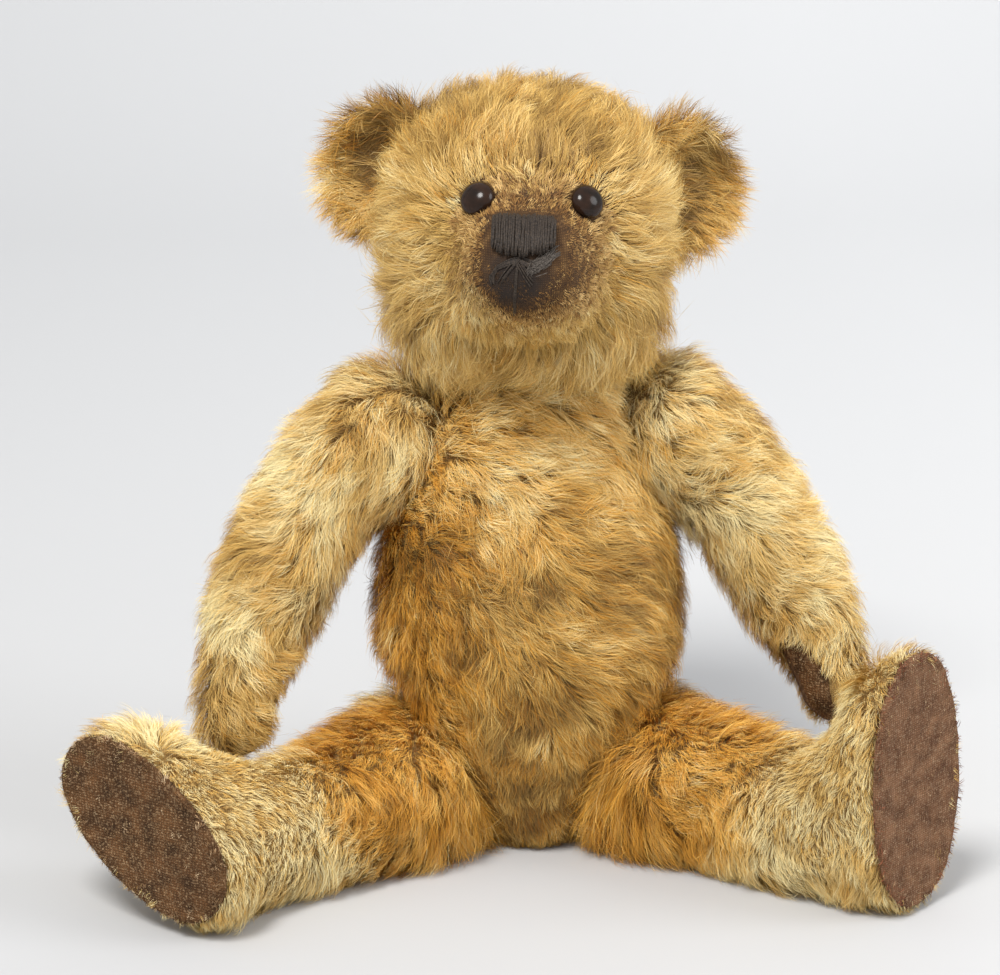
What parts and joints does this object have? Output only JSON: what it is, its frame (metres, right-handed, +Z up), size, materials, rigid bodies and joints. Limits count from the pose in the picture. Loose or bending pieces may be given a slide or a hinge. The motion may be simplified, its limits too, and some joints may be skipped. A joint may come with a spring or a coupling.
{
  "type": "jointed teddy bear",
  "caption": "Seated stuffed mohair bear with long curved arms, upright felt-soled feet, a stitched nose and button eyes; head, arms and legs turn on disc joints.",
  "frame": {"origin": "centre of the bounding box at floor level, on the surface the bear sits on", "axes": "+Z up, the bear faces -Y, its own left side is towards +X"},
  "size_m": [0.2992, 0.1698, 0.2608],
  "materials": {
    "mohair": "matte",
    "felt": "matte",
    "wood_wool": "matte",
    "cardboard": "matte",
    "steel": "satin",
    "boot_button": "gloss",
    "thread": "matte"
  },
  "bodies": {
    "body": {"body_skin": "mohair", "body_stuffing": "wood_wool", "neck_body_disc": "cardboard", "neck_body_washer": "steel", "shoulder_left_body_disc": "cardboard", "shoulder_left_body_washer": "steel", "shoulder_right_body_disc": "cardboard", "shoulder_right_body_washer": "steel", "hip_left_body_disc": "cardboard", "hip_left_body_washer": "steel", "hip_right_body_disc": "cardboard", "hip_right_body_washer": "steel"},
    "head": {"head_skin": "mohair", "head_stuffing": "wood_wool", "ear_left": "mohair", "ear_right": "mohair", "eye_left": "boot_button", "eye_right": "boot_button", "eye_shank_left": "steel", "eye_shank_right": "steel", "nose_stitching": "thread", "mouth_stitching": "thread", "neck_limb_disc": "cardboard", "neck_limb_washer": "steel", "neck_pin": "steel"},
    "arm_left": {"arm_skin_left": "mohair", "arm_stuffing_left": "wood_wool", "paw_pad_left": "felt", "shoulder_left_limb_disc": "cardboard", "shoulder_left_limb_washer": "steel", "shoulder_left_pin": "steel"},
    "arm_right": {"arm_skin_right": "mohair", "arm_stuffing_right": "wood_wool", "paw_pad_right": "felt", "shoulder_right_limb_disc": "cardboard", "shoulder_right_limb_washer": "steel", "shoulder_right_pin": "steel"},
    "leg_left": {"leg_skin_left": "mohair", "leg_stuffing_left": "wood_wool", "foot_pad_left": "felt", "foot_card_left": "cardboard", "hip_left_limb_disc": "cardboard", "hip_left_limb_washer": "steel", "hip_left_pin": "steel"},
    "leg_right": {"leg_skin_right": "mohair", "leg_stuffing_right": "wood_wool", "foot_pad_right": "felt", "foot_card_right": "cardboard", "hip_right_limb_disc": "cardboard", "hip_right_limb_washer": "steel", "hip_right_pin": "steel"}
  },
  "joints": [
    {"name": "neck_turn", "type": "hinge", "parent": "body", "child": "head", "pos_m": [0.01261, 0.0383, 0.16838], "axis": [0, 0, 1], "continuous": true},
    {"name": "shoulder_left_swing", "type": "hinge", "parent": "body", "child": "arm_left", "pos_m": [0.04781, 0.0373, 0.13753], "axis": [-0.9511, 0, -0.309], "range_deg": [-90, 120]},
    {"name": "shoulder_right_swing", "type": "hinge", "parent": "body", "child": "arm_right", "pos_m": [-0.02259, 0.0373, 0.13753], "axis": [-0.9511, 0, 0.309], "range_deg": [-90, 120]},
    {"name": "hip_left_swing", "type": "hinge", "parent": "body", "child": "leg_left", "pos_m": [0.03661, 0.0363, 0.02723], "axis": [-0.8861, 0.0931, 0.454], "range_deg": [-95, 10]},
    {"name": "hip_right_swing", "type": "hinge", "parent": "body", "child": "leg_right", "pos_m": [-0.01139, 0.0363, 0.02723], "axis": [-0.8861, -0.0931, -0.454], "range_deg": [-95, 3]}
  ]
}
